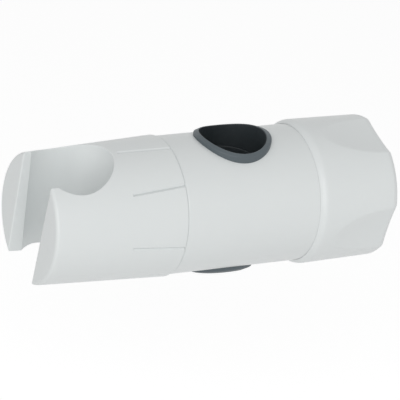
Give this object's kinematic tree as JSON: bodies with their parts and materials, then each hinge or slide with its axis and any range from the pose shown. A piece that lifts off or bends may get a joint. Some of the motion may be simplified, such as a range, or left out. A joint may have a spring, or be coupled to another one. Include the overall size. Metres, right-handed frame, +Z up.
{
  "type": "shower handset holder for a riser rail",
  "caption": "Horizontal barrel that slides on an upright shower rail, with a turning open cone cradle for the handset at one end and a fluted clamp knob at the other.",
  "frame": {"origin": "where the rail's axis crosses the barrel's axis", "axes": "+X along the barrel toward the knob, +Z up the rail, -Y the front that faces the user"},
  "size_m": [0.1101, 0.0424, 0.0428],
  "materials": {
    "white_plastic": "satin gloss white moulding",
    "grey_plastic": "fine matt slate grey",
    "black_rubber": "greased black rubber",
    "grey_nylon": "matt grey moulding",
    "zinc_steel": "bright zinc plate",
    "brass": "plain turned brass"
  },
  "bodies": {
    "barrel": {"slider_body": "white_plastic", "rail_bush_upper": "grey_plastic", "rail_bush_lower": "grey_plastic", "clamp_nut": "brass", "swivel_o_ring": "black_rubber"},
    "cradle": {"handset_cradle": "white_plastic"},
    "shoe": {"clamp_shoe": "grey_nylon"},
    "knob": {"clamp_knob": "white_plastic", "clamp_spindle": "zinc_steel", "knob_cap": "white_plastic"}
  },
  "joints": [
    {"name": "cradle_tilt", "type": "hinge", "parent": "barrel", "child": "cradle", "pos_m": [0, 0, 0], "axis": [1, 0, 0], "continuous": true},
    {"name": "clamp_slide", "type": "slide", "parent": "barrel", "child": "shoe", "axis": [-1, 0, 0], "range_m": [0, 0.0025]},
    {"name": "knob_turn", "type": "hinge", "parent": "shoe", "child": "knob", "pos_m": [0, 0, 0], "axis": [-1, 0, 0], "range_deg": [0, 720]}
  ],
  "couplings": [
    {"joint": "knob_turn", "follows": "clamp_slide", "rad_per_m": 5026.5}
  ]
}
